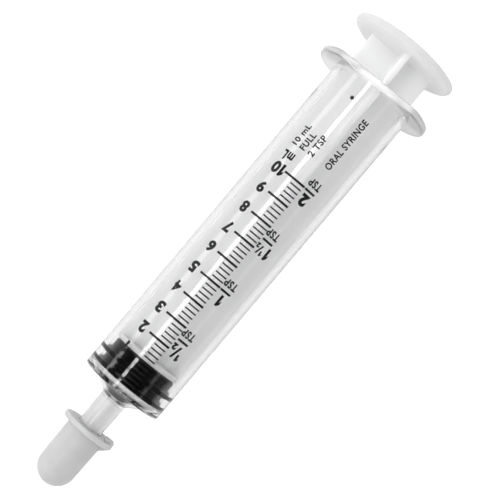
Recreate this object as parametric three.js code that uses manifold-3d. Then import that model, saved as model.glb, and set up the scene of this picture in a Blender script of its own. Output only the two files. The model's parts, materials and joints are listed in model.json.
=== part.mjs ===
// Oral syringe, 10 mL, lying on a table with its scale facing up.
// Four separate pieces: barrel, rubber stopper, plunger rod and tip cap.
// Every piece is drawn about the syringe axis: "along" is measured from 0.8 mm behind the barrel's
// front face towards the thumb rest, and "radius" is measured out from the axis.

import * as THREE from 'three';
import { mergeVertices } from 'three/addons/utils/BufferGeometryUtils.js';
import Module from 'manifold-3d';

const wasm = await Module();
wasm.setup();

// Driving dimensions, in millimetres.

const ROUND_STEPS = 72;
const SMALL_ROUND_STEPS = 48;

const BORE_RADIUS = 7.95;
const BARREL_RADIUS_AT_TIP = 9.05;
const BARREL_RADIUS_AT_FLANGE = 9.2;
const BARREL_FRONT = -0.8;
const FRONT_CORNER_ROUND = 0.4;
const BORE_FLOOR = 0.85;
const CONE_BOTTOM = -2.2;
const CONE_MOUTH_RADIUS = 6.9;

const NOZZLE_END = -16.5;
const NOZZLE_ROOT = -3.1;
const NOZZLE_TIP_RADIUS = 2.6;
const NOZZLE_ROOT_RADIUS = 2.8;
const CHANNEL_RADIUS = 1.15;

const FLANGE_START = 76.0;
const FLANGE_THICKNESS = 1.6;
const FLANGE_RADIUS = 13.2;
const FLANGE_HALF_DEPTH = 9.4;
const FLANGE_EDGE_ROUND = 0.35;

const RETAINING_RIDGE_START = 69.4;
const RETAINING_RIDGE_RADIUS = 7.78;

const STOPPER_RADIUS = 7.9;
const STOPPER_FRONT = 0.95;
const STOPPER_GROOVE_RADIUS = 7.1;
const STOPPER_REAR_RADIUS = 7.15;
const STOPPER_LENGTH = 6.8;
const SOCKET_MOUTH_RADIUS = 2.3;
const SOCKET_RADIUS = 3.5;

const ROD_START = STOPPER_LENGTH + 0.3;
const ROD_NECK_RADIUS = 2.0;
const ROD_HEAD_RADIUS = 3.2;
const ROD_FRONT_DISC_RADIUS = 7.3;
const ROD_FRONT_DISC_END = ROD_START + 1.0;
const RIB_HALF_WIDTH = 7.6;
const RIB_THICKNESS = 1.3;
const RIB_ROOT_FILLET = 0.6;

const THUMB_REST_START = 85.4;
const THUMB_REST_END = 87.1;
const THUMB_REST_RADIUS = 12.1;
const THUMB_DISH_RADIUS = 8.5;
const THUMB_DISH_DEPTH = 0.7;

const CAP_END = -24.2;
const CAP_DOME_RADIUS = 4.05;
const CAP_BODY_RADIUS = 4.2;
const CAP_MOUTH = -10.3;
const CAP_COLLAR_RADIUS = 5.75;
const CAP_COLLAR_THICKNESS = 1.15;
const CAP_CLEARANCE = 0.08;
const CAP_POCKET_RADIUS = 1.8;
const CAP_POCKET_END = -22.2;
const CAP_TAB_WIDTH = 1.8;

// Geometry helpers.

// Turns a profile of [along, radius] points about the syringe axis, which becomes +X.
// A flat of the faceted circle, not a corner, faces straight down.
function turned(profile, steps = ROUND_STEPS) {
  const points = profile.map(([along, radius]) => new THREE.Vector2(radius, along));
  const geometry = new THREE.LatheGeometry(points, steps, Math.PI / steps, 2 * Math.PI);
  geometry.rotateZ(-Math.PI / 2);
  return geometry;
}

// Extrudes a shape, drawn across the axis, from "start" to "end" along it.
// The shape's own x runs along -Y, and its own y along +Z.
function extrudedAlongAxis(shape, start, end, edgeRound, curveSegments) {
  const geometry = new THREE.ExtrudeGeometry(shape, {
    depth: end - start - 2 * edgeRound,
    bevelEnabled: edgeRound > 0,
    bevelThickness: edgeRound,
    bevelSize: edgeRound,
    bevelOffset: -edgeRound,
    bevelSegments: 3,
    curveSegments,
  });
  geometry.translate(0, 0, edgeRound);
  const toAxis = new THREE.Matrix4().makeBasis(
    new THREE.Vector3(0, -1, 0),
    new THREE.Vector3(0, 0, 1),
    new THREE.Vector3(-1, 0, 0),
  );
  geometry.applyMatrix4(toAxis);
  geometry.applyMatrix4(new THREE.Matrix4().makeTranslation(end, 0, 0));
  return geometry;
}

function toSolid(geometry) {
  const bare = geometry.clone();
  bare.deleteAttribute('normal');
  bare.deleteAttribute('uv');
  const merged = mergeVertices(bare, 1e-4);
  const mesh = new wasm.Mesh({
    numProp: 3,
    vertProperties: new Float32Array(merged.attributes.position.array),
    triVerts: new Uint32Array(merged.index.array),
  });
  mesh.merge();
  return new wasm.Manifold(mesh);
}

function toGeometry(solid) {
  const { vertProperties, triVerts } = solid.getMesh();
  const geometry = new THREE.BufferGeometry();
  geometry.setAttribute('position', new THREE.BufferAttribute(vertProperties, 3));
  geometry.setIndex(new THREE.BufferAttribute(triVerts, 1));
  geometry.computeVertexNormals();
  return geometry;
}

// Points of a quarter turn or any other arc, as [along, radius] pairs.
function arc(alongCentre, radiusCentre, size, fromDegrees, toDegrees, steps) {
  const points = [];
  for (let step = 0; step <= steps; step += 1) {
    const angle = THREE.MathUtils.degToRad(fromDegrees + (toDegrees - fromDegrees) * step / steps);
    points.push([alongCentre + size * Math.cos(angle), radiusCentre + size * Math.sin(angle)]);
  }
  return points;
}

function nozzleRadiusAt(along) {
  const share = (along - NOZZLE_END) / (NOZZLE_ROOT - NOZZLE_END);
  return NOZZLE_TIP_RADIUS + (NOZZLE_ROOT_RADIUS - NOZZLE_TIP_RADIUS) * share;
}

// Barrel: tube, end wall with its shallow cone, nozzle and finger flange in one moulding.

function flangeOutline() {
  const halfFlat = Math.sqrt(FLANGE_RADIUS ** 2 - FLANGE_HALF_DEPTH ** 2);
  const flatAngle = Math.atan2(FLANGE_HALF_DEPTH, halfFlat);
  const outline = new THREE.Shape();
  outline.moveTo(halfFlat, -FLANGE_HALF_DEPTH);
  outline.absarc(0, 0, FLANGE_RADIUS, -flatAngle, flatAngle, false);
  outline.lineTo(-halfFlat, FLANGE_HALF_DEPTH);
  outline.absarc(0, 0, FLANGE_RADIUS, Math.PI - flatAngle, Math.PI + flatAngle, false);
  return outline;
}

function barrelOutside() {
  return turned([
    [NOZZLE_END, 0],
    [NOZZLE_END, NOZZLE_TIP_RADIUS - 0.3],
    [NOZZLE_END + 0.3, NOZZLE_TIP_RADIUS],
    [NOZZLE_ROOT, NOZZLE_ROOT_RADIUS],
    [-2.8, 3.05],
    [-2.5, 3.5],
    [-1.4, 5.35],
    [-1.0, 6.3],
    [BARREL_FRONT, 7.5],
    ...arc(
      BARREL_FRONT + FRONT_CORNER_ROUND,
      BARREL_RADIUS_AT_TIP - FRONT_CORNER_ROUND,
      FRONT_CORNER_ROUND,
      180,
      90,
      4,
    ),
    [FLANGE_START + FLANGE_THICKNESS / 2, BARREL_RADIUS_AT_FLANGE],
    [FLANGE_START + FLANGE_THICKNESS / 2, 0],
  ]);
}

function barrelInside() {
  const past = 1;
  const cornerRound = 0.3;
  const end = FLANGE_START + FLANGE_THICKNESS;
  return turned([
    [NOZZLE_END - past, 0],
    [NOZZLE_END - past, CHANNEL_RADIUS],
    [CONE_BOTTOM - 0.6, CHANNEL_RADIUS],
    [CONE_BOTTOM, 2.0],
    [BORE_FLOOR, CONE_MOUTH_RADIUS],
    ...arc(BORE_FLOOR + cornerRound, BORE_RADIUS - cornerRound, cornerRound, 180, 90, 3),
    [RETAINING_RIDGE_START, BORE_RADIUS],
    [RETAINING_RIDGE_START + 0.5, RETAINING_RIDGE_RADIUS],
    [RETAINING_RIDGE_START + 1.1, RETAINING_RIDGE_RADIUS],
    [RETAINING_RIDGE_START + 1.6, BORE_RADIUS],
    [end - 0.4, BORE_RADIUS],
    [end, BORE_RADIUS + 0.4],
    [end + past, BORE_RADIUS + 0.4],
    [end + past, 0],
  ]);
}

function barrelGeometry() {
  const flangeEnd = FLANGE_START + FLANGE_THICKNESS;
  const flange = extrudedAlongAxis(flangeOutline(), FLANGE_START, flangeEnd, FLANGE_EDGE_ROUND, 20);
  const body = toSolid(barrelOutside()).add(toSolid(flange));
  return toGeometry(body.subtract(toSolid(barrelInside())));
}

// Stopper: two sealing rings with a groove between them, a cone that fills the barrel's cone,
// and an undercut socket at the back for the head of the rod.

function stopperGeometry() {
  const ring = STOPPER_RADIUS;
  const groove = STOPPER_GROOVE_RADIUS;
  const ringRound = 0.35;
  return turned([
    [-2.0, 0],
    [-1.95, 1.6],
    [-1.7, 1.95],
    [STOPPER_FRONT, 6.6],
    ...arc(STOPPER_FRONT + ringRound, ring - ringRound, ringRound, 180, 90, 3),
    [2.05, ring],
    [2.3, ring - 0.3],
    [2.5, groove + 0.15],
    [2.75, groove],
    [3.35, groove],
    [3.6, groove + 0.15],
    [3.8, ring - 0.3],
    [4.0, ring],
    [4.8, ring],
    [5.1, ring - 0.3],
    [5.3, STOPPER_REAR_RADIUS + 0.2],
    [5.5, STOPPER_REAR_RADIUS],
    [STOPPER_LENGTH - 0.3, STOPPER_REAR_RADIUS],
    [STOPPER_LENGTH, STOPPER_REAR_RADIUS - 0.3],
    [STOPPER_LENGTH, SOCKET_MOUTH_RADIUS],
    [5.7, SOCKET_MOUTH_RADIUS],
    [5.4, SOCKET_RADIUS],
    [3.1, SOCKET_RADIUS],
    [2.7, SOCKET_RADIUS - 0.8],
    [2.7, 0],
  ]);
}

// Plunger rod: barbed head, front disc, four long ribs and a dished thumb rest in one moulding.

function ribOutline() {
  const half = RIB_THICKNESS / 2;
  const root = half + RIB_ROOT_FILLET;
  const outline = new THREE.Shape();
  outline.moveTo(root, -half);
  for (let quarter = 0; quarter < 4; quarter += 1) {
    const turn = new THREE.Matrix3().makeRotation(quarter * Math.PI / 2);
    const corners = [
      [RIB_HALF_WIDTH, -half],
      [RIB_HALF_WIDTH, half],
      [root, half],
      [half + 0.18, half + 0.18],
      [half, root],
    ];
    for (const [across, up] of corners) {
      const corner = new THREE.Vector2(across, up).applyMatrix3(turn);
      outline.lineTo(corner.x, corner.y);
    }
  }
  return outline;
}

function rodHead() {
  return turned([
    [3.2, 0],
    [3.2, 1.8],
    [3.9, ROD_HEAD_RADIUS],
    [4.9, ROD_HEAD_RADIUS],
    [5.1, ROD_NECK_RADIUS],
    [ROD_START, ROD_NECK_RADIUS],
    [ROD_START, ROD_FRONT_DISC_RADIUS - 0.2],
    [ROD_START + 0.2, ROD_FRONT_DISC_RADIUS],
    [ROD_FRONT_DISC_END - 0.2, ROD_FRONT_DISC_RADIUS],
    [ROD_FRONT_DISC_END, ROD_FRONT_DISC_RADIUS - 0.2],
    [ROD_FRONT_DISC_END, 0],
  ], SMALL_ROUND_STEPS);
}

function thumbRest() {
  const rimRound = 0.55;
  const rimCentre = THUMB_REST_END - rimRound;
  return turned([
    [THUMB_REST_START, 0],
    [THUMB_REST_START, RIB_HALF_WIDTH + 0.6],
    [THUMB_REST_START + 0.45, THUMB_REST_RADIUS - rimRound - 0.4],
    ...arc(rimCentre, THUMB_REST_RADIUS - rimRound, rimRound, 150, 0, 6),
    [THUMB_REST_END, THUMB_REST_RADIUS - rimRound - 0.5],
    [THUMB_REST_END - THUMB_DISH_DEPTH, THUMB_DISH_RADIUS],
    [THUMB_REST_END - THUMB_DISH_DEPTH, 0],
  ]);
}

function rodGeometry() {
  const ribStart = ROD_FRONT_DISC_END - 0.3;
  const ribEnd = THUMB_REST_START + 0.3;
  const ribs = extrudedAlongAxis(ribOutline(), ribStart, ribEnd, 0, 1);
  return toGeometry(toSolid(rodHead()).add(toSolid(ribs)).add(toSolid(thumbRest())));
}

// Tip cap: domed sleeve over the nozzle, with a collar and one grip tab.

function capBody() {
  const domeCentre = CAP_END + CAP_DOME_RADIUS;
  const collarStart = CAP_MOUTH - CAP_COLLAR_THICKNESS;
  const pocketStart = NOZZLE_END - 0.3;
  const edge = 0.3;
  return turned([
    ...arc(domeCentre, 0, CAP_DOME_RADIUS, 180, 90, 9).map(([along, radius]) => [along, Math.max(radius, 0)]),
    [collarStart - 0.3, CAP_BODY_RADIUS],
    [collarStart, CAP_BODY_RADIUS + 0.3],
    [collarStart, CAP_COLLAR_RADIUS - edge],
    [collarStart + edge, CAP_COLLAR_RADIUS],
    [CAP_MOUTH - edge, CAP_COLLAR_RADIUS],
    [CAP_MOUTH, CAP_COLLAR_RADIUS - edge],
    [CAP_MOUTH, nozzleRadiusAt(CAP_MOUTH) + CAP_CLEARANCE],
    [pocketStart, nozzleRadiusAt(pocketStart) + CAP_CLEARANCE],
    [pocketStart, CAP_POCKET_RADIUS],
    [CAP_POCKET_END + 0.8, CAP_POCKET_RADIUS],
    [CAP_POCKET_END, CAP_POCKET_RADIUS - 0.9],
    [CAP_POCKET_END, 0],
  ], SMALL_ROUND_STEPS);
}

// The tab stands out from the sleeve towards -Y.
function capTab() {
  const outline = new THREE.Shape();
  outline.moveTo(CAP_MOUTH - 3.0, CAP_BODY_RADIUS - 0.5);
  outline.lineTo(CAP_MOUTH - 0.9, CAP_COLLAR_RADIUS + 0.2);
  outline.lineTo(CAP_MOUTH + 0.2, CAP_COLLAR_RADIUS + 0.1);
  outline.lineTo(CAP_MOUTH + 0.7, CAP_COLLAR_RADIUS - 0.4);
  outline.lineTo(CAP_MOUTH + 0.7, CAP_BODY_RADIUS - 0.7);
  const geometry = new THREE.ExtrudeGeometry(outline, { depth: CAP_TAB_WIDTH, bevelEnabled: false });
  geometry.translate(0, 0, -CAP_TAB_WIDTH / 2);
  geometry.rotateX(Math.PI);
  return geometry;
}

function capGeometry() {
  return toGeometry(toSolid(capBody()).add(toSolid(capTab())));
}

// The four pieces.

function piece(name, geometry, color, roughness, opacity = 1) {
  const material = new THREE.MeshStandardMaterial({
    color,
    roughness,
    metalness: 0,
    opacity,
    transparent: opacity < 1,
  });
  const mesh = new THREE.Mesh(geometry, material);
  mesh.name = name;
  return mesh;
}

const syringe = new THREE.Group();
syringe.add(piece('barrel', barrelGeometry(), 0xe3e5e6, 0.3, 0.45));
syringe.add(piece('stopper', stopperGeometry(), 0x0b0c0c, 0.45));
syringe.add(piece('plunger_rod', rodGeometry(), 0xe6e8e8, 0.35, 0.75));
syringe.add(piece('tip_cap', capGeometry(), 0xc4c6c6, 0.45, 0.8));

// Lying down: the rim of the thumb rest and the front corner of the barrel both touch the
// table, so the axis climbs a little towards the thumb rest.

const rimAlong = THUMB_REST_END - 0.55;
const frontContactAlong = BARREL_FRONT + FRONT_CORNER_ROUND;
const climb = Math.atan2(THUMB_REST_RADIUS - BARREL_RADIUS_AT_TIP, rimAlong - frontContactAlong);
syringe.rotation.y = -climb;

// The origin is on the table, under the middle of the syringe.

const model = new THREE.Group();
model.add(syringe);
model.updateMatrixWorld(true);
const box = new THREE.Box3().setFromObject(model, true);
syringe.position.set(-(box.min.x + box.max.x) / 2, -(box.min.y + box.max.y) / 2, -box.min.z);
model.updateMatrixWorld(true);

export default model;
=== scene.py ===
import json
import math

import bmesh
import bpy
from mathutils import Matrix, Vector


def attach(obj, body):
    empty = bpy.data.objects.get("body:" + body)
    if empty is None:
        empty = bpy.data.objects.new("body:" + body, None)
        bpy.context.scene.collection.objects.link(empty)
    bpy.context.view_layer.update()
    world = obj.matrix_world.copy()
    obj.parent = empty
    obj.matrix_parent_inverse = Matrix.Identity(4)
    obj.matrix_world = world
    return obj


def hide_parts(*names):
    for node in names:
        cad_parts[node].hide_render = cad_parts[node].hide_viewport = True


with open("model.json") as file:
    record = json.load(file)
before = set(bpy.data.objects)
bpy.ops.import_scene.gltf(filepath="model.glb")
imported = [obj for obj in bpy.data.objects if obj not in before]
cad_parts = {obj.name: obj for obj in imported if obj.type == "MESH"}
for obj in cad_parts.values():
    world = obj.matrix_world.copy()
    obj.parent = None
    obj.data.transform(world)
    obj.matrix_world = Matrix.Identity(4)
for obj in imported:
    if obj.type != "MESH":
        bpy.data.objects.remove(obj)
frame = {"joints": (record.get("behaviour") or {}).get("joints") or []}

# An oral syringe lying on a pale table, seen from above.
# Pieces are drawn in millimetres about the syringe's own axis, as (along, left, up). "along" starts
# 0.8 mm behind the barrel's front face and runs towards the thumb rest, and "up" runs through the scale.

MM = 0.001

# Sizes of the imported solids, in millimetres: radii, and places along the axis. The roundest ones are
# a few hundredths smaller here, because a smooth circle would bulge past the solids' flat facets.
BORE_RADIUS = 7.95
BORE_FLOOR = 0.85
BARREL_FRONT = -0.8
BARREL_RADIUS_AT_TIP = 9.03
BARREL_RADIUS_AT_FLANGE = 9.2
CONE_BOTTOM = -2.2
RETAINING_RIDGE = 70.2
NOZZLE_END = -16.5
NOZZLE_ROOT = -3.1
NOZZLE_TIP_RADIUS = 2.6
NOZZLE_ROOT_RADIUS = 2.8
CHANNEL_RADIUS = 1.15
FLANGE_START = 76.0
FLANGE_END = 77.6
FLANGE_RADIUS = 13.2
FLANGE_HALF_DEPTH = 9.4
TUBE_END = FLANGE_END - 0.2
STOPPER_FRONT = 0.95
STOPPER_END = 6.8
STOPPER_GROOVE_RADIUS = 7.1
STOPPER_REAR_RADIUS = 7.15
SOCKET_RADIUS = 3.5
SOCKET_MOUTH_RADIUS = 2.3
ROD_START = 7.1
ROD_NECK_RADIUS = 2.0
ROD_HEAD_RADIUS = 3.2
FRONT_DISC_RADIUS = 7.3
FRONT_DISC_END = ROD_START + 1.0
RIB_HALF_WIDTH = 7.6
RIB_THICKNESS = 1.3
RIB_TURN = math.radians(7)
THUMB_REST_START = 85.4
THUMB_REST_END = 87.08
THUMB_REST_RADIUS = 12.07
THUMB_DISH_RADIUS = 8.5
THUMB_DISH_FLOOR = THUMB_REST_END - 0.7
CAP_END = -24.19
CAP_DOME_RADIUS = 4.05
CAP_SLEEVE_RADIUS = 4.2
CAP_MOUTH = -10.3
CAP_COLLAR_RADIUS = 5.75
CAP_COLLAR_START = CAP_MOUTH - 1.15
CAP_POCKET_RADIUS = 1.8
CAP_POCKET_START = NOZZLE_END - 0.3
CAP_POCKET_END = -22.4

# Printed scale. Half a teaspoon is 2.5 mL. A line is (start, finish, width), from left to right.
ZERO_LINE = 1.9
ML = 5.036
FULL_DOSE = 10
HALF_TSP = 2.5 * ML
LONG_LINE = (-3.2, 1.75, 0.46)
SHORT_LINE = (-1.0, 1.6, 0.3)
PRINT_SHIFT = 0.45
INK_LIFT = 0.015
INK_HEIGHT = 0.02

# Camera: places are (along, right, up).
CAMERA_PLACE = (25.9, 10.0, 253.2)
CAMERA_TARGET = (36.7, 1.6, 0)
CAMERA_LENS = 91.9
SYRINGE_LEAN = math.radians(49.87)

joints = {joint["name"]: joint for joint in frame["joints"]}
AXIS = Vector(joints["plunger_slide"]["axis"]).normalized()
ON_AXIS = Vector(joints["rod_turn"]["pos_m"])
LEFT = Vector((0, 1, 0))
UP = AXIS.cross(LEFT)
SYRINGE_TURN = Matrix((AXIS, LEFT, UP)).transposed().to_4x4()
SYRINGE = Matrix.Translation(ON_AXIS) @ SYRINGE_TURN @ Matrix.Scale(MM, 4)

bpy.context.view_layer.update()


def in_frame(along, right, up):
    """A place given in the syringe's millimetres, as a point of the shared frame."""
    return SYRINGE @ Vector((along, -right, up))


# ---------------------------------------------------------------- mesh helpers

def new_object(name, mesh):
    thing = bpy.data.objects.new(name, mesh)
    bpy.context.scene.collection.objects.link(thing)
    return thing


def from_bmesh(name, work):
    """A mesh object from a bmesh that is drawn in the syringe's millimetres."""
    bmesh.ops.recalc_face_normals(work, faces=work.faces)
    mesh = bpy.data.meshes.new(name)
    work.to_mesh(mesh)
    work.free()
    mesh.transform(SYRINGE)
    return new_object(name, mesh)


def smooth(thing, degrees=38):
    """Smooth shading, with edges sharper than this many degrees kept sharp."""
    mesh = thing.data
    mesh.polygons.foreach_set("use_smooth", [True] * len(mesh.polygons))
    mesh.set_sharp_from_angle(angle=math.radians(degrees))


def rounded(corners, steps):
    """A profile of [along, radius, fillet] corners with each fillet turned into a smooth bend."""
    profile = []
    for index, (along, radius, fillet) in enumerate(corners):
        here = Vector((along, radius))
        if fillet == 0 or index in (0, len(corners) - 1):
            profile.append(here)
            continue
        before = Vector(corners[index - 1][:2]) - here
        after = Vector(corners[index + 1][:2]) - here
        turn = before.angle(after)
        longest = 0.48 * min(before.length, after.length)
        reach = min(fillet / math.tan(turn / 2), longest)
        start = here + before.normalized() * reach
        finish = here + after.normalized() * reach
        for step in range(steps + 1):
            share = step / steps
            first = start.lerp(here, share)
            second = here.lerp(finish, share)
            profile.append(first.lerp(second, share))
    return profile


def revolve(work, profile, steps, closed):
    """Turns a profile about the syringe axis. A closed profile makes a ring or a tube."""
    rings = []
    for point in profile:
        if point.y < 1e-6:
            rings.append([work.verts.new((point.x, 0, 0))])
            continue
        ring = []
        for step in range(steps):
            angle = 2 * math.pi * (step + 0.5) / steps
            ring.append(work.verts.new((point.x, -point.y * math.sin(angle), point.y * math.cos(angle))))
        rings.append(ring)
    pairs = list(zip(rings, rings[1:]))
    if closed:
        pairs.append((rings[-1], rings[0]))
    for first, second in pairs:
        for step in range(steps):
            following = (step + 1) % steps
            corners = [first[step % len(first)], first[following % len(first)],
                       second[following % len(second)], second[step % len(second)]]
            face = list(dict.fromkeys(corners))
            if len(face) > 2:
                work.faces.new(face)


def quarter_turn(steps):
    """Angles from 0 to 90 degrees, both ends included."""
    return [math.pi / 2 * step / steps for step in range(steps + 1)]


def turned(name, corners, steps, closed=False, fillet_steps=5):
    """An object turned about the syringe's axis from a profile of [along, radius, fillet] corners."""
    work = bmesh.new()
    revolve(work, rounded(corners, fillet_steps), steps, closed)
    return from_bmesh(name, work)


def stacked(name, layers):
    """A closed solid through layers of matching outlines, capped at both ends."""
    work = bmesh.new()
    loops = [[work.verts.new(point) for point in layer] for layer in layers]
    for first, second in zip(loops, loops[1:]):
        for index in range(len(first)):
            following = (index + 1) % len(first)
            work.faces.new((first[index], first[following], second[following], second[index]))
    work.faces.new(loops[0])
    work.faces.new(loops[-1])
    return from_bmesh(name, work)


def combine(target, tool, operation):
    """Joins or cuts two closed meshes and removes the second one."""
    modifier = target.modifiers.new("combine", "BOOLEAN")
    modifier.object = tool
    modifier.operation = operation
    modifier.solver = "EXACT"
    bpy.context.view_layer.update()
    evaluated = target.evaluated_get(bpy.context.evaluated_depsgraph_get())
    result = bpy.data.meshes.new_from_object(evaluated)
    target.modifiers.clear()
    target.data = result
    bpy.data.objects.remove(tool)


# ---------------------------------------------------------------- materials

def node(tree, kind, **values):
    made = tree.nodes.new(kind)
    for name, value in values.items():
        setattr(made, name, value)
    return made


def plastic(name, color, roughness, **sockets):
    """A material whose Principled shader has these values. Returns its tree and shader too."""
    material = bpy.data.materials.new(name)
    material.use_nodes = True
    tree = material.node_tree
    shader = tree.nodes["Principled BSDF"]
    shader.inputs["Base Color"].default_value = (*color, 1)
    shader.inputs["Roughness"].default_value = roughness
    for socket, value in sockets.items():
        shader.inputs[socket].default_value = value
    return material, tree, shader


def flow_noise(tree, scale, stretch, detail):
    """Noise over a piece, drawn out along an axis whose stretch is below 1."""
    place = node(tree, "ShaderNodeTexCoord")
    mapping = node(tree, "ShaderNodeMapping")
    mapping.inputs["Scale"].default_value = stretch
    noise = node(tree, "ShaderNodeTexNoise")
    noise.inputs["Scale"].default_value = scale
    noise.inputs["Detail"].default_value = detail
    tree.links.new(place.outputs["Object"], mapping.inputs["Vector"])
    tree.links.new(mapping.outputs["Vector"], noise.inputs["Vector"])
    return noise


def mapped(tree, value, start, finish, low, high):
    """A value eased from low to high while another goes from start to finish."""
    reach = node(tree, "ShaderNodeMapRange", interpolation_type="SMOOTHSTEP")
    reach.inputs["From Min"].default_value = start
    reach.inputs["From Max"].default_value = finish
    reach.inputs["To Min"].default_value = low
    reach.inputs["To Max"].default_value = high
    tree.links.new(value, reach.inputs["Value"])
    return reach.outputs["Result"]


def vary_roughness(tree, shader, noise, low, high):
    tree.links.new(mapped(tree, noise.outputs["Fac"], 0.3, 0.7, low, high), shader.inputs["Roughness"])


def add_bump(tree, shader, scale, distance, strength, stretch=(1, 1, 1)):
    noise = flow_noise(tree, scale, stretch, 3)
    bump = node(tree, "ShaderNodeBump")
    bump.inputs["Strength"].default_value = strength
    bump.inputs["Distance"].default_value = distance
    tree.links.new(noise.outputs["Fac"], bump.inputs["Height"])
    tree.links.new(bump.outputs["Normal"], shader.inputs["Normal"])
    return noise


def vary_color(tree, shader, noise, dark, light):
    """Mottles the base color between two shades, and returns it for further shading."""
    ramp = node(tree, "ShaderNodeValToRGB")
    ramp.color_ramp.elements[0].position = 0.3
    ramp.color_ramp.elements[0].color = (*dark, 1)
    ramp.color_ramp.elements[1].position = 0.7
    ramp.color_ramp.elements[1].color = (*light, 1)
    tree.links.new(noise.outputs["Fac"], ramp.inputs["Fac"])
    tree.links.new(ramp.outputs["Color"], shader.inputs["Base Color"])
    return ramp.outputs["Color"]


def scaled(tree, color, share):
    scale = node(tree, "ShaderNodeVectorMath", operation="SCALE")
    tree.links.new(color, scale.inputs[0])
    tree.links.new(share, scale.inputs["Scale"])
    return scale.outputs["Vector"]


def shade_rim(tree, color, along, start, finish, shade):
    """Painted shade: darkens a color outwards from one distance off the axis to another, as measured at
    "along".
    """
    place = node(tree, "ShaderNodeTexCoord")
    offset = node(tree, "ShaderNodeVectorMath", operation="SUBTRACT")
    offset.inputs[1].default_value = in_frame(along, 0, 0)
    across = node(tree, "ShaderNodeVectorMath", operation="MULTIPLY")
    across.inputs[1].default_value = (0, 1, 1)
    distance = node(tree, "ShaderNodeVectorMath", operation="LENGTH")
    tree.links.new(place.outputs["Object"], offset.inputs[0])
    tree.links.new(offset.outputs["Vector"], across.inputs[0])
    tree.links.new(across.outputs["Vector"], distance.inputs[0])
    share = mapped(tree, distance.outputs["Value"], start * MM, finish * MM, 1, shade)
    return scaled(tree, color, share)


def along_ramp(tree, stops):
    """A value that changes along the syringe, from (along, value) stops."""
    place = node(tree, "ShaderNodeTexCoord")
    split = node(tree, "ShaderNodeSeparateXYZ")
    reach = node(tree, "ShaderNodeMapRange")
    reach.inputs["From Min"].default_value = in_frame(stops[0][0], 0, 0).x
    reach.inputs["From Max"].default_value = in_frame(stops[-1][0], 0, 0).x
    ramp = node(tree, "ShaderNodeValToRGB")
    span = stops[-1][0] - stops[0][0]
    elements = ramp.color_ramp.elements
    for index, (along, value) in enumerate(stops):
        share = (along - stops[0][0]) / span
        element = elements[index] if index < 2 else elements.new(share)
        element.position = share
        element.color = (value, value, value, 1)
    tree.links.new(place.outputs["Object"], split.inputs["Vector"])
    tree.links.new(split.outputs["X"], reach.inputs["Value"])
    tree.links.new(reach.outputs["Result"], ramp.inputs["Fac"])
    return ramp.outputs["Color"]


def barrel_plastic():
    """Clear along the bore, milkier in the nozzle, the flange and the end wall, and greyer in the
    nozzle; the flange's rim is darkened with painted shade."""
    material, tree, shader = plastic("clear_polypropylene", (0.99, 0.995, 1.0), 0.05, IOR=1.49)
    noise = flow_noise(tree, 60, (0.2, 1, 1), 2)
    vary_roughness(tree, shader, noise, 0.03, 0.07)
    milky_nozzle_end = NOZZLE_ROOT - 0.8
    past_flange = FLANGE_END + 0.4
    whiteness = along_ramp(tree, [
        (NOZZLE_END, 0.78),
        (milky_nozzle_end, 0.78),
        (milky_nozzle_end + 1.0, 0.99),
        (past_flange, 0.99),
    ])
    # Painted shade on the flange's curved rim: the colour darkens outwards, standing in for shade from
    # the lighting.
    rim = FLANGE_RADIUS
    color = shade_rim(tree, whiteness, FLANGE_START, rim - 1.0, rim - 0.2, 0.7)
    tree.links.new(color, shader.inputs["Base Color"])
    clearness = along_ramp(tree, [
        (NOZZLE_END, 0.5),
        (milky_nozzle_end, 0.55),
        (NOZZLE_ROOT, 0.98),
        (CONE_BOTTOM, 1.0),
        (0.0, 1.0),
        (0.15, 0.72),
        (0.6, 0.72),
        (BORE_FLOOR, 1.0),
        (FLANGE_START - 0.5, 1.0),
        (FLANGE_START + 0.2, 0.6),
        (past_flange, 0.6),
    ])
    tree.links.new(clearness, shader.inputs["Transmission Weight"])
    return material


def rod_plastic():
    material, tree, shader = plastic("natural_polypropylene", (0.93, 0.935, 0.935), 0.45, **{
        "IOR": 1.49,
        "Transmission Weight": 0.25,
        "Subsurface Weight": 1.0,
        "Subsurface Scale": 0.006,
    })
    shader.inputs["Subsurface Radius"].default_value = (1, 1, 1)
    noise = add_bump(tree, shader, 120, 0.0002, 0.1, (0.3, 1, 1))
    color = vary_color(tree, shader, noise, (0.93, 0.935, 0.935), (0.97, 0.97, 0.97))
    # Painted shade on the thumb rest's rim: the colour darkens towards its edge, standing in for shade
    # from the lighting.
    rim = THUMB_REST_RADIUS
    color = shade_rim(tree, color, THUMB_REST_END, rim - 0.9, rim - 0.3, 0.7)
    tree.links.new(color, shader.inputs["Base Color"])
    return material


def cap_plastic():
    material, tree, shader = plastic("soft_polyethylene", (0.58, 0.585, 0.58), 0.35, **{
        "IOR": 1.5,
        "Transmission Weight": 0.2,
        "Subsurface Weight": 0.6,
        "Subsurface Scale": 0.004,
    })
    shader.inputs["Subsurface Radius"].default_value = (1, 1, 1)
    noise = add_bump(tree, shader, 300, 0.0002, 0.1)
    vary_color(tree, shader, noise, (0.53, 0.535, 0.53), (0.58, 0.585, 0.58))
    return material


def stopper_rubber():
    sockets = {"IOR": 1.5, "Specular IOR Level": 0.06}
    material, tree, shader = plastic("black_rubber", (0.002, 0.002, 0.002), 0.45, **sockets)
    noise = add_bump(tree, shader, 900, 0.0001, 0.15)
    vary_color(tree, shader, noise, (0.0015, 0.0015, 0.0015), (0.004, 0.004, 0.004))
    return material


def print_ink():
    sockets = {"Specular IOR Level": 0.3}
    material, tree, shader = plastic("printed_ink", (0.006, 0.006, 0.006), 0.3, **sockets)
    noise = add_bump(tree, shader, 2500, 0.00002, 0.2)
    vary_color(tree, shader, noise, (0.004, 0.004, 0.004), (0.012, 0.012, 0.012))
    return material


def finish_piece(thing, material, body, stands_for=None):
    """Gives a piece its material and slot, and makes it move with a body of the solids."""
    thing.data.materials.clear()
    thing.data.materials.append(material)
    if stands_for:
        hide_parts(stands_for)
    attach(thing, body)


# ---------------------------------------------------------------- barrel

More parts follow.
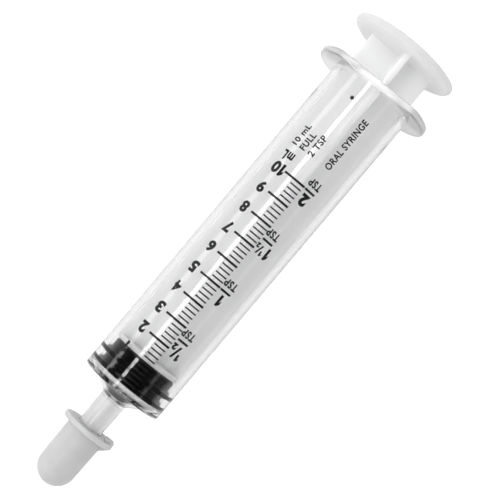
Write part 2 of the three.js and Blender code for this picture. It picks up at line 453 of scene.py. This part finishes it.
def flange_outline(along, inset):
    """A round plate with two straight sides, its corners eased."""
    steps = 288
    ease = 40
    points = []
    for step in range(steps):
        angle = 2 * math.pi * (step + 0.5) / steps
        to_arc = FLANGE_RADIUS - inset
        to_flat = (FLANGE_HALF_DEPTH - inset) / max(abs(math.sin(angle)), 1e-6)
        reach = (to_arc ** -ease + to_flat ** -ease) ** (-1 / ease)
        points.append((along, reach * math.cos(angle), reach * math.sin(angle)))
    return points


def make_barrel(material):
    tube = turned("barrel_body", [
        [NOZZLE_END, CHANNEL_RADIUS, 0],
        [NOZZLE_END, NOZZLE_TIP_RADIUS, 0.35],
        [NOZZLE_ROOT, NOZZLE_ROOT_RADIUS, 0.4],
        [-2.5, 3.5, 0.5],
        [-1.2, 5.75, 0.8],
        [BARREL_FRONT, 7.3, 0.8],
        [BARREL_FRONT, BARREL_RADIUS_AT_TIP, 0.4],
        [TUBE_END, BARREL_RADIUS_AT_FLANGE, 0],
        [TUBE_END, BORE_RADIUS + 0.35, 0],
        [FLANGE_END - 0.7, BORE_RADIUS, 0.3],
        [RETAINING_RIDGE + 2.0, BORE_RADIUS, 0.8],
        [RETAINING_RIDGE, BORE_RADIUS - 0.06, 0.8],
        [RETAINING_RIDGE - 2.0, BORE_RADIUS, 0.8],
        [BORE_FLOOR, BORE_RADIUS, 0.3],
        [BORE_FLOOR, 6.9, 0.1],
        [CONE_BOTTOM, 2.0, 0.5],
        [CONE_BOTTOM - 0.6, CHANNEL_RADIUS, 0.3],
    ], steps=192, closed=True)
    edge = 0.45
    layers = []
    for angle in quarter_turn(4):
        layers.append((FLANGE_START + edge - edge * math.cos(angle), edge - edge * math.sin(angle)))
    for angle in quarter_turn(4):
        layers.append((FLANGE_END - edge + edge * math.sin(angle), edge - edge * math.cos(angle)))
    plate = stacked("flange_plate", [flange_outline(along, inset) for along, inset in layers])
    hole_radius = BORE_RADIUS + 0.5
    hole = turned("flange_hole", [
        [FLANGE_START - 1, 0, 0],
        [FLANGE_START - 1, hole_radius, 0],
        [FLANGE_END - 0.7, hole_radius, 0],
        [FLANGE_END + 1, hole_radius, 0],
        [FLANGE_END + 1, 0, 0],
    ], steps=192)
    combine(plate, hole, "DIFFERENCE")
    combine(tube, plate, "UNION")
    smooth(tube)
    finish_piece(tube, material, "barrel", "barrel")


# ---------------------------------------------------------------- stopper

def make_stopper(material):
    """Its rings reach 0.02 mm into the bore's wall, as squeezed rubber leaves no gap there."""
    ring = BORE_RADIUS + 0.02
    stopper = turned("stopper_body", [
        [-2.0, 0, 0],
        [-2.0, 1.85, 0.35],
        [0.9, 6.6, 0.1],
        [STOPPER_FRONT, ring, 0.35],
        [2.05, ring, 0.35],
        [2.25, STOPPER_GROOVE_RADIUS, 0.3],
        [3.3, STOPPER_GROOVE_RADIUS, 0.3],
        [3.5, ring, 0.35],
        [4.6, ring, 0.35],
        [4.85, STOPPER_REAR_RADIUS, 0.3],
        [STOPPER_END, STOPPER_REAR_RADIUS, 0.4],
        [STOPPER_END, SOCKET_MOUTH_RADIUS, 0.2],
        [5.7, SOCKET_MOUTH_RADIUS, 0.2],
        [5.4, SOCKET_RADIUS, 0.2],
        [2.9, SOCKET_RADIUS, 0.5],
        [2.7, 0, 0],
    ], steps=144)
    smooth(stopper)
    finish_piece(stopper, material, "stopper", "stopper")


# ---------------------------------------------------------------- plunger rod

def rib_outline(along):
    """A cross of four ribs with rounded edges and filleted roots, as (along, left, up) points."""
    half = RIB_THICKNESS / 2
    edge = 0.4
    root = 0.8
    edge_centre = RIB_HALF_WIDTH - edge
    quarter = []
    for angle in quarter_turn(4):
        quarter.append((edge_centre + edge * math.sin(angle), -half + edge - edge * math.cos(angle)))
    for angle in quarter_turn(4):
        quarter.append((edge_centre + edge * math.cos(angle), half - edge + edge * math.sin(angle)))
    for angle in quarter_turn(5):
        quarter.append((half + root - root * math.sin(angle), half + root - root * math.cos(angle)))
    points = []
    for turn in range(4):
        cosine = math.cos(RIB_TURN + turn * math.pi / 2)
        sine = math.sin(RIB_TURN + turn * math.pi / 2)
        for across, up in quarter:
            points.append((along, across * cosine - up * sine, across * sine + up * cosine))
    return points


def make_rod(material):
    rod = turned("rod_body", [
        [3.2, 0, 0],
        [3.2, 1.9, 0.3],
        [3.9, ROD_HEAD_RADIUS, 0.3],
        [4.9, ROD_HEAD_RADIUS, 0.2],
        [5.1, ROD_NECK_RADIUS, 0.2],
        [ROD_START, ROD_NECK_RADIUS, 0.2],
        [ROD_START, FRONT_DISC_RADIUS, 0.25],
        [FRONT_DISC_END, FRONT_DISC_RADIUS, 0.25],
        [FRONT_DISC_END, 0, 0],
    ], steps=144)
    overlap = 0.3
    ribs = stacked("ribs", [
        rib_outline(FRONT_DISC_END - overlap),
        rib_outline(THUMB_REST_START + overlap),
    ])
    rest = turned("thumb_rest", [
        [THUMB_REST_START, 0, 0],
        [THUMB_REST_START, RIB_HALF_WIDTH + 0.6, 0.4],
        [THUMB_REST_START + 0.3, THUMB_REST_RADIUS - 0.5, 0.4],
        [THUMB_REST_START + 0.8, THUMB_REST_RADIUS, 0.5],
        [THUMB_REST_END, THUMB_REST_RADIUS, 0.55],
        [THUMB_REST_END, THUMB_REST_RADIUS - 1.3, 0.4],
        [THUMB_DISH_FLOOR, THUMB_DISH_RADIUS, 1.2],
        [THUMB_DISH_FLOOR, 0, 0],
    ], steps=192)
    combine(rod, ribs, "UNION")
    combine(rod, rest, "UNION")
    smooth(rod)
    finish_piece(rod, material, "plunger_rod", "plunger_rod")


# ---------------------------------------------------------------- tip cap

def cap_tab():
    """The grip tab, a thin fin that stands out from the sleeve to the right."""
    side = [
        (CAP_MOUTH - 3.0, 3.7),
        (CAP_MOUTH - 0.9, 5.95),
        (CAP_MOUTH + 0.2, 5.85),
        (CAP_MOUTH + 0.7, 5.35),
        (CAP_MOUTH + 0.7, 3.6),
    ]
    half = 0.9
    ease = 0.25
    middle = Vector((CAP_MOUTH - 0.6, 4.9))
    layers = []
    for up, shrink in ((-half, ease), (-half + ease, 0), (half - ease, 0), (half, ease)):
        layer = []
        for along, reach in side:
            inward = (middle - Vector((along, reach))).normalized() * shrink
            layer.append((along + inward.x, -(reach + inward.y), up))
        layers.append(layer)
    return stacked("cap_tab", layers)


def make_cap(material):
    dome = []
    for angle in quarter_turn(16):
        along = CAP_END + CAP_DOME_RADIUS * (1 - math.cos(angle))
        dome.append([along, CAP_DOME_RADIUS * math.sin(angle), 0])
    cap = turned("cap_body", dome + [
        [CAP_COLLAR_START, CAP_SLEEVE_RADIUS, 0.35],
        [CAP_COLLAR_START, CAP_COLLAR_RADIUS, 0.35],
        [CAP_MOUTH, CAP_COLLAR_RADIUS, 0.35],
        [CAP_MOUTH, 2.78, 0.15],
        [CAP_POCKET_START, 2.68, 0],
        [CAP_POCKET_START, CAP_POCKET_RADIUS, 0],
        [CAP_POCKET_END + 0.8, CAP_POCKET_RADIUS, 0.8],
        [CAP_POCKET_END, 0, 0],
    ], steps=128, fillet_steps=12)
    combine(cap, cap_tab(), "UNION")
    smooth(cap)
    finish_piece(cap, material, "tip_cap", "tip_cap")


# ---------------------------------------------------------------- printed scale

def barrel_radius(along):
    """The barrel's outer radius, which grows evenly from its front face to the flange."""
    share = (along - BARREL_FRONT) / (TUBE_END - BARREL_FRONT)
    return BARREL_RADIUS_AT_TIP + (BARREL_RADIUS_AT_FLANGE - BARREL_RADIUS_AT_TIP) * share


def wrap(work):
    """Rolls flat artwork, drawn as (along, right of the top line), onto the barrel as thin ink."""
    strip = 0.35
    highest = max(vert.co.y for vert in work.verts)
    cut = min(vert.co.y for vert in work.verts) + strip
    while cut < highest:
        geometry = work.verts[:] + work.edges[:] + work.faces[:]
        bmesh.ops.bisect_plane(work, geom=geometry, plane_co=(0, cut, 0), plane_no=(0, 1, 0), dist=1e-5)
        cut += strip
    raised = bmesh.ops.extrude_face_region(work, geom=work.faces[:])
    for vert in raised["geom"]:
        if isinstance(vert, bmesh.types.BMVert):
            vert.co.z += INK_HEIGHT
    for vert in work.verts:
        along, right, lift = vert.co
        radius = barrel_radius(along)
        angle = (right + PRINT_SHIFT) / radius
        reach = radius + INK_LIFT + lift
        vert.co = (along, -reach * math.sin(angle), reach * math.cos(angle))


def flat_rectangle(work, along, width, start, finish):
    """A line of the scale, lying across the syringe."""
    corners = [(along - width / 2, start, 0), (along + width / 2, start, 0),
               (along + width / 2, finish, 0), (along - width / 2, finish, 0)]
    work.faces.new([work.verts.new(corner) for corner in corners])


def letters_mesh(text, bold):
    """Flat lettering from the built-in font, one unit to the font's size."""
    curve = bpy.data.curves.new("letters", "FONT")
    curve.body = text
    curve.offset = bold
    curve.space_character = 1 + 3 * bold
    curve.resolution_u = 4
    holder = new_object("letters", curve)
    bpy.context.view_layer.update()
    evaluated = holder.evaluated_get(bpy.context.evaluated_depsgraph_get())
    mesh = bpy.data.meshes.new_from_object(evaluated)
    bpy.data.objects.remove(holder)
    return mesh


def one_mesh(bold):
    """The numeral 1, an upright with a short flag, at the height of the font's numerals."""
    stem = 0.09 + 2 * bold
    flag = 0.13
    outline = [(0, 0), (stem, 0), (stem, 0.7), (0.2 * stem, 0.7), (-flag, 0.54), (-flag, 0.54 - stem),
               (0, 0.58 - 0.6 * stem)]
    mesh = bpy.data.meshes.new("one")
    mesh.from_pydata([(x, y, 0) for x, y in outline], [], [list(range(len(outline)))])
    return mesh


FACINGS = {
    "tip": Matrix(((0, -1, 0), (-1, 0, 0), (0, 0, 1))).to_4x4(),
    "left": Matrix(((1, 0, 0), (0, -1, 0), (0, 0, 1))).to_4x4(),
}


def flat_letters(work, text, height, along, right, facing, bold, width=None):
    """Lettering centred on a place. facing "tip" has its top towards the tip, "left" to the left."""
    mesh = one_mesh(bold) if text == "1" else letters_mesh(text, bold)
    xs = [vert.co.x for vert in mesh.vertices]
    ys = [vert.co.y for vert in mesh.vertices]
    centre = Vector(((min(xs) + max(xs)) / 2, (min(ys) + max(ys)) / 2, 0))
    tall = height / (max(ys) - min(ys))
    wide = tall if width is None else width / (max(xs) - min(xs))
    mesh.transform(Matrix.Translation(-centre))
    mesh.transform(Matrix.Diagonal((wide, tall, 1, 1)))
    mesh.transform(FACINGS[facing])
    mesh.transform(Matrix.Translation((along, right, 0)))
    work.from_mesh(mesh)
    bpy.data.meshes.remove(mesh)


def flat_half(work, height, along, right):
    """A half written small: 1, a slanting bar and a lowered 2, its top towards the tip."""
    step = 0.27 * height
    small = 0.5 * height
    flat_letters(work, "1", small, along - step, right + 0.34 * height, "tip", 0.07)
    flat_letters(work, "/", 0.95 * height, along, right, "tip", 0.03, 0.42 * height)
    flat_letters(work, "2", small, along + step, right - 0.34 * height, "tip", 0.07)


def ink_piece(name, work, material):
    """Turns flat artwork into a printed piece that moves with the barrel."""
    wrap(work)
    thing = from_bmesh(name, work)
    smooth(thing, 60)
    finish_piece(thing, material, "barrel")


def at_volume(millilitres):
    """The place along the axis of a volume on the scale."""
    return ZERO_LINE + ML * millilitres


def make_ml_scale(material):
    """A long line at each millilitre with its numeral, and short lines at each fifth."""
    lines = bmesh.new()
    steps_per_ml = 5
    for step in range(steps_per_ml * FULL_DOSE + 1):
        whole = step % steps_per_ml == 0
        start, finish, width = LONG_LINE if whole else SHORT_LINE
        flat_rectangle(lines, at_volume(step / steps_per_ml), width, start, finish)
    ink_piece("scale_ml_lines", lines, material)
    numerals = bmesh.new()
    for volume in range(1, FULL_DOSE):
        width = 1.0 if volume == 1 else 1.65
        bold = 0.03 if volume == 4 else 0.055
        flat_letters(numerals, str(volume), 2.5, at_volume(volume), -5.0, "tip", bold, width)
    last = at_volume(FULL_DOSE)
    flat_letters(numerals, "1", 2.6, last - 0.25, -3.75, "tip", 0.06, 0.95)
    flat_letters(numerals, "0", 2.6, last - 0.25, -5.35, "tip", 0.055, 1.75)
    flat_letters(numerals, "mL", 2.1, last + 2.7, -4.9, "tip", 0.045, 2.6)
    ink_piece("scale_ml_numerals", numerals, material)


def make_tsp_scale(material):
    """A line at each half teaspoon, with its amount before it and its unit after it."""
    lines = bmesh.new()
    labels = bmesh.new()
    for half in range(1, 5):
        along = ZERO_LINE + HALF_TSP * half
        flat_rectangle(lines, along, 0.45, 1.9, 4.4)
        flat_letters(labels, "TSP", 1.7, along + 1.75, 3.1, "tip", 0.04, 2.9)
    ink_piece("scale_tsp_lines", lines, material)
    before_line = 2.0
    first, second, third, fourth = [ZERO_LINE + HALF_TSP * half - before_line for half in range(1, 5)]
    flat_half(labels, 2.9, first - 0.3, 3.3)
    flat_letters(labels, "1", 2.5, second, 3.4, "tip", 0.07, 0.9)
    flat_letters(labels, "1", 2.6, third, 4.8, "tip", 0.07, 0.9)
    flat_half(labels, 2.1, third - 0.1, 2.8)
    flat_letters(labels, "2", 2.6, fourth, 3.2, "tip", 0.06, 1.75)
    ink_piece("scale_tsp_numerals", labels, material)


def make_lettering(material):
    """Three short rows and one long one, all generic, beyond the end of the scale."""
    work = bmesh.new()
    rows_start = 57.6
    row_spacing = 2.05
    for row, (text, width) in enumerate((("10 mL", 4.8), ("FULL", 3.9), ("2 TSP", 4.8))):
        right = -5.6 + row_spacing * row
        flat_letters(work, text, 1.4, rows_start + width / 2, right, "left", 0.035, width)
    flat_letters(work, "ORAL SYRINGE", 1.5, 63.8, 2.7, "left", 0.03, 12.0)
    ink_piece("scale_lettering", work, material)


def make_dot(material):
    work = bmesh.new()
    bmesh.ops.create_circle(work, cap_ends=True, segments=24, radius=0.4)
    bmesh.ops.translate(work, verts=work.verts, vec=(71.5, -2.45, 0))
    ink_piece("scale_dot", work, material)


# ---------------------------------------------------------------- table, lights and camera

def make_table():
    """A pale floor that glows, more to the camera than to the syringe, so that it looks white."""
    work = bmesh.new()
    bmesh.ops.create_grid(work, x_segments=8, y_segments=8, size=1.5)
    mesh = bpy.data.meshes.new("table")
    work.to_mesh(mesh)
    work.free()
    table = new_object("table", mesh)
    material = bpy.data.materials.new("pale_table")
    material.use_nodes = True
    tree = material.node_tree
    shader = tree.nodes["Principled BSDF"]
    shader.inputs["Base Color"].default_value = (0.4, 0.4, 0.4, 1)
    shader.inputs["Roughness"].default_value = 0.7
    shader.inputs["Specular IOR Level"].default_value = 0.2
    shader.inputs["Emission Color"].default_value = (1, 1, 1, 1)
    path = node(tree, "ShaderNodeLightPath")
    glow = mapped(tree, path.outputs["Is Camera Ray"], 0, 1, 0.42, 0.8)
    tree.links.new(glow, shader.inputs["Emission Strength"])
    mesh.materials.append(material)


def soft_light(name, along, right, up, width, length, power):
    """A soft box whose long side runs along the syringe, aimed straight at its axis."""
    light = bpy.data.lights.new(name, "AREA")
    light.shape = "RECTANGLE"
    light.size = length * MM
    light.size_y = width * MM
    light.energy = power
    lamp = bpy.data.objects.new(name, light)
    bpy.context.scene.collection.objects.link(lamp)
    place = in_frame(along, right, up)
    away = (place - in_frame(along, 0, 0)).normalized()
    side = away.cross(AXIS).normalized()
    lamp.matrix_world = Matrix.Translation(place) @ Matrix((AXIS, side, away)).transposed().to_4x4()


def math_node(tree, operation, first, second):
    """A Math node's result. Each operand is a number or another node's output."""
    made = node(tree, "ShaderNodeMath", operation=operation)
    for socket, value in zip(made.inputs, (first, second)):
        if isinstance(value, (int, float)):
            socket.default_value = value
        else:
            tree.links.new(value, socket)
    return made.outputs["Value"]


def make_world():
    """A soft white tent. What shines straight back from a surface is the tent with a dark slot over
    the middle of the syringe, the part that a round barrel mirrors. What lights matt surfaces is the
    even tent, stronger through clear plastic, which stops the lamps' direct light."""
    world = bpy.data.worlds.new("studio")
    world.use_nodes = True
    tree = world.node_tree
    background = tree.nodes["Background"]
    background.inputs["Color"].default_value = (1, 1, 1, 1)
    place = node(tree, "ShaderNodeTexCoord")
    split = node(tree, "ShaderNodeSeparateXYZ")
    tree.links.new(place.outputs["Generated"], split.inputs["Vector"])
    path = node(tree, "ShaderNodeLightPath")
    thumbward = split.outputs["X"]
    leftward = split.outputs["Y"]
    upward = split.outputs["Z"]

    sides = mapped(tree, leftward, -0.8, 0.8, 0.15, 0.35)
    slot = mapped(tree, upward, 0.25, 0.75, 0, 0.02)
    tree.links.new(sides, slot.node.inputs["To Min"])
    mirrored = math_node(tree, "ADD", slot, mapped(tree, thumbward, 0.3, 0.65, 0, 0.9))
    mirrored = math_node(tree, "ADD", mirrored, mapped(tree, thumbward, -0.65, -0.3, 0.35, 0))

    even = mapped(tree, thumbward, 0.3, 0.65, 1.05, 0.3)
    tipward_share = mapped(tree, thumbward, -0.65, -0.3, 0.6, 1)
    left_share = mapped(tree, leftward, -0.3, 0.8, 1.16, 1.6)
    through_plastic = mapped(tree, path.outputs["Is Transmission Ray"], 0, 1, 1, 1.9)
    for share in (tipward_share, left_share, through_plastic):
        even = math_node(tree, "MULTIPLY", even, share)

    matt = math_node(tree, "MINIMUM", path.outputs["Diffuse Depth"], 1)
    shiny = math_node(tree, "SUBTRACT", 1, matt)
    tent = math_node(tree, "ADD", math_node(tree, "MULTIPLY", matt, even),
                     math_node(tree, "MULTIPLY", shiny, mirrored))
    strength = math_node(tree, "MAXIMUM", path.outputs["Is Camera Ray"], tent)
    tree.links.new(strength, background.inputs["Strength"])
    bpy.context.scene.world = world


def make_lights():
    """A key light above the left side, and a weaker, lower light on each side for the edges."""
    middle = 28
    length = 320
    soft_light("key", middle, -124, 390, 60, length, 0.45)
    soft_light("left_edge", middle, -300, 165, 50, length, 0.16)
    soft_light("right_edge", middle, 300, 235, 50, length, 0.04)


def make_camera():
    """Above the tip half of the barrel, with the syringe lying at 50 degrees across the picture."""
    data = bpy.data.cameras.new("camera")
    data.sensor_width = 36
    data.lens = CAMERA_LENS
    data.clip_start = 0.01
    data.clip_end = 20
    camera = bpy.data.objects.new("camera", data)
    bpy.context.scene.collection.objects.link(camera)
    place = in_frame(*CAMERA_PLACE)
    target = in_frame(*CAMERA_TARGET)
    back = (place - target).normalized()
    climb = (AXIS - back * AXIS.dot(back)).normalized()
    across = climb.cross(back)
    right = climb * math.cos(SYRINGE_LEAN) + across * math.sin(SYRINGE_LEAN)
    up = back.cross(right)
    camera.matrix_world = Matrix.Translation(place) @ Matrix((right, up, back)).transposed().to_4x4()
    bpy.context.scene.camera = camera
    bpy.context.scene.view_settings.view_transform = "Standard"


ink = print_ink()
make_barrel(barrel_plastic())
make_stopper(stopper_rubber())
make_rod(rod_plastic())
make_cap(cap_plastic())
make_ml_scale(ink)
make_tsp_scale(ink)
make_lettering(ink)
make_dot(ink)
make_table()
make_world()
make_lights()
make_camera()
